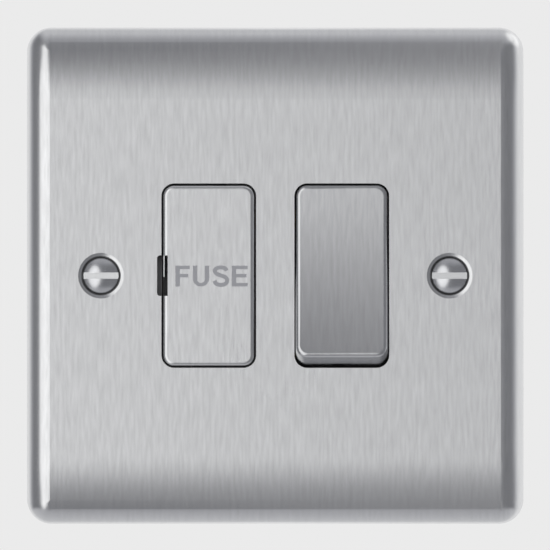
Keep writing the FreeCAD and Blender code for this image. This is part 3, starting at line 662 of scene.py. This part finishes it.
def add_thread(mesh, x, start, end):
    """The thread's ridge, wound round the core and run out to nothing at both ends."""
    count = int((end - start) / thread_pitch * thread_steps)
    rows = []
    for i in range(count + 1):
        run_out = min(1.0, i / thread_steps, (count - i) / (1.5 * thread_steps))
        crest = thread_root + (thread_crest - thread_root) * run_out
        angle = 2 * math.pi * i / thread_steps
        middle = start + thread_pitch * i / thread_steps
        rows.append([])
        for on_crest, along in thread_profile:
            radius = crest if on_crest else thread_root - thread_sunk
            place = (radius * math.cos(angle), along * thread_pitch, -radius * math.sin(angle))
            rows[-1].append(mesh.verts.new(Vector((x, middle, 0)) + Vector(place)))
    walled(mesh, rows)


def slot_highlight_mask(bench):
    """1 in the slot across a screw's head, which is painted paler as a highlight, and 0 elsewhere.
    """
    height = abs(placed(bench, "Z"))
    band = height.faded(slot_half + 0.02 * MM, slot_half - 0.02 * MM, "LINEAR")
    return band * placed(bench, "Y").faded(head_seat, head_seat - 0.1 * MM, "LINEAR")


screw_nickel = nickel_plating(
    "screw_nickel", (0.54, 0.545, 0.56), (0.66, 0.665, 0.68), 0.20, slot_highlight_mask
)
for side, place in ((-1, "left"), (1, "right")):
    screw = screw_head(side)
    axis_x = side * screw_pitch / 2
    add_core(screw, axis_x, head_seat - 0.05 * MM, screw_end)
    add_thread(screw, axis_x, head_seat + 0.4 * MM, screw_end - 0.5 * MM)
    mesh = closed_mesh(screw, f"fixing_screw_{place}")
    mesh.attributes.remove(mesh.attributes["custom_normal"])
    smooth_shaded(mesh, 28)
    piece = add_piece(f"fixing_screw_{place}", mesh, screw_nickel)
    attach(piece, "plate_and_module")
    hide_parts("fixing_screws")

# The studio is a pale room with one tall soft box in front, left of the camera, that narrows to
# its top and foot, and one small soft lamp high on the right. The room is darker and a little
# cooler round the soft box, and pale overhead, underfoot and at the back.
room_level = 0.258
soft_box_level = 1.115
high_lamp_level = 0.60
back_wall_level = 0.76
ceiling_level = 0.48
ground_level = 0.39
ground_rise_to_back = 0.20
backdrop_level = 0.83
cool_light = (0.972, 0.984, 1.044)
white_light = (1, 1, 1)
studio = bpy.data.worlds.new("pale_studio")
studio.use_nodes = True
studio.node_tree.nodes.clear()
room = Wire(studio.node_tree)
way = room.node("ShaderNodeTexCoord", output="Generated")
to_right = room.node("ShaderNodeSeparateXYZ", inputs={0: way}, output="X")
to_back = room.node("ShaderNodeSeparateXYZ", inputs={0: way}, output="Y")
upward = room.node("ShaderNodeSeparateXYZ", inputs={0: way}, output="Z")

# The soft box: both of its sides lean in towards its top and its foot.
up_box = abs(upward + 0.045)
right_side = (to_right + 0.17 * up_box + 0.33 * up_box * up_box).faded(0.07, -0.04)
left_side = (to_right - 0.7 * up_box * up_box).faded(-0.84, -0.77)
soft_box = right_side * left_side * up_box.faded(0.76, 0.575) * to_back.faded(0.1, -0.3)

# The pale surfaces: the wall behind, the ceiling from the middle to the right, and the ground.
back_wall = (to_back + 0.28 * to_right - 0.60 * abs(upward)).faded(-0.36, 0.50)
ceiling = to_back.faded(-1.0, 0.05, "LINEAR") * upward.faded(0.56, 0.78)
ceiling = ceiling_level * ceiling * to_right.faded(-0.70, -0.30)
ground = (upward - 0.3 * to_back).faded(-0.47, -0.64)
underfoot = (ground_level + ground_rise_to_back * to_back) * ground
pale = (back_wall_level * back_wall).larger(ceiling + underfoot)
high_lamp = (0.70 * to_right + 0.22 * to_back + 0.68 * upward).faded(0.84, 0.97)
glow = room_level + soft_box_level * soft_box + pale + high_lamp_level * high_lamp

# Right behind the unit hangs the pale backdrop. The camera sees it all round the unit, and
# metal and glass show it where they mirror the way straight back.
straight_back = to_back.faded(0.90, 0.98)
camera_ray = room.node("ShaderNodeLightPath", output="Is Camera Ray")
glossy_ray = room.node("ShaderNodeLightPath", output="Is Glossy Ray")
clear_ray = room.node("ShaderNodeLightPath", output="Is Transmission Ray")
seen = camera_ray.larger(straight_back * glossy_ray.larger(clear_ray))
level = glow + seen * (backdrop_level - glow)
shade = tinted(room, cool_light, white_light, seen.larger(glow.faded(0.2, 1.2)))
light = room.node("ShaderNodeBackground", inputs={"Color": shade, "Strength": level})
room.node("ShaderNodeOutputWorld", inputs={"Surface": light})
bpy.context.scene.world = studio

# Two wide soft lamps, one on each side of the camera, bring plastics and ink to the level at
# which a colour shows as it is. The brushed steel mirrors the room and not the lamps.
lamp_size = 0.8


def soft_lamp(name, place, power):
    """A square lamp that faces the unit, with its power in watts."""
    data = bpy.data.lights.new(name, "AREA")
    data.size = lamp_size
    data.energy = power
    lamp = bpy.data.objects.new(name, data)
    lamp.location = place
    lamp.rotation_euler = Vector(place).to_track_quat("Z", "Y").to_euler()
    lamp.visible_glossy = False
    bpy.context.scene.collection.objects.link(lamp)


soft_lamp("left_soft_lamp", (-0.4, -1.4, 0.55), 6.5)
soft_lamp("right_soft_lamp", (0.5, -1.3, 0.3), 3.6)

# The floor is a pale round sheet under the unit. Its edge thins out to nothing, so that it has
# no line against the pale room behind it.
floor_radius = 0.42
floor_height = -0.12


def round_floor():
    """A flat disc."""
    disc = bmesh.new()
    bmesh.ops.create_circle(disc, cap_ends=True, radius=floor_radius, segments=96)
    bmesh.ops.translate(disc, verts=disc.verts, vec=(0, 0, floor_height))
    mesh = bpy.data.meshes.new("pale_floor")
    disc.to_mesh(mesh)
    disc.free()
    return mesh


def floor_card(name):
    """Pale matt card, see-through towards its edge."""
    material, bench = new_finish(name)
    fibre = grain(bench, [900] * 3, 3.0, 0.6)
    colour = tinted(bench, (0.78, 0.78, 0.78), (0.82, 0.82, 0.82), fibre)
    sockets = {"Base Color": colour, "Roughness": 0.8}
    card = bench.node("ShaderNodeBsdfPrincipled", inputs=sockets)
    place = bench.node("ShaderNodeTexCoord", output="Object")
    reach = bench.node("ShaderNodeVectorMath", {"operation": "LENGTH"}, {0: place}, "Value")
    thin = reach.faded(0.5 * floor_radius, 0.98 * floor_radius)
    clear = bench.node("ShaderNodeBsdfTransparent")
    surface = bench.node("ShaderNodeMixShader", inputs={0: thin, 1: card, 2: clear})
    bench.node("ShaderNodeOutputMaterial", inputs={"Surface": surface})
    return material


floor = add_piece("pale_floor", round_floor(), floor_card("pale_floor_card"))
floor.visible_glossy = False

# The camera stands far back and square to the face, so that the plate's sides don't show, and
# is moved by a tenth of a millimetre, so that the plate fills the picture as photographed.
lens = bpy.data.cameras.new("front_camera")
lens.lens = 830.2
lens.sensor_width = 36
lens.clip_start = 0.05
camera = bpy.data.objects.new("front_camera", lens)
camera_distance = 2.2
camera.location = (-0.00005, -camera_distance, 0.000113)
camera.rotation_euler = (math.pi / 2, 0, 0)
bpy.context.scene.collection.objects.link(camera)
bpy.context.scene.camera = camera
bpy.context.scene.view_settings.view_transform = "Standard"
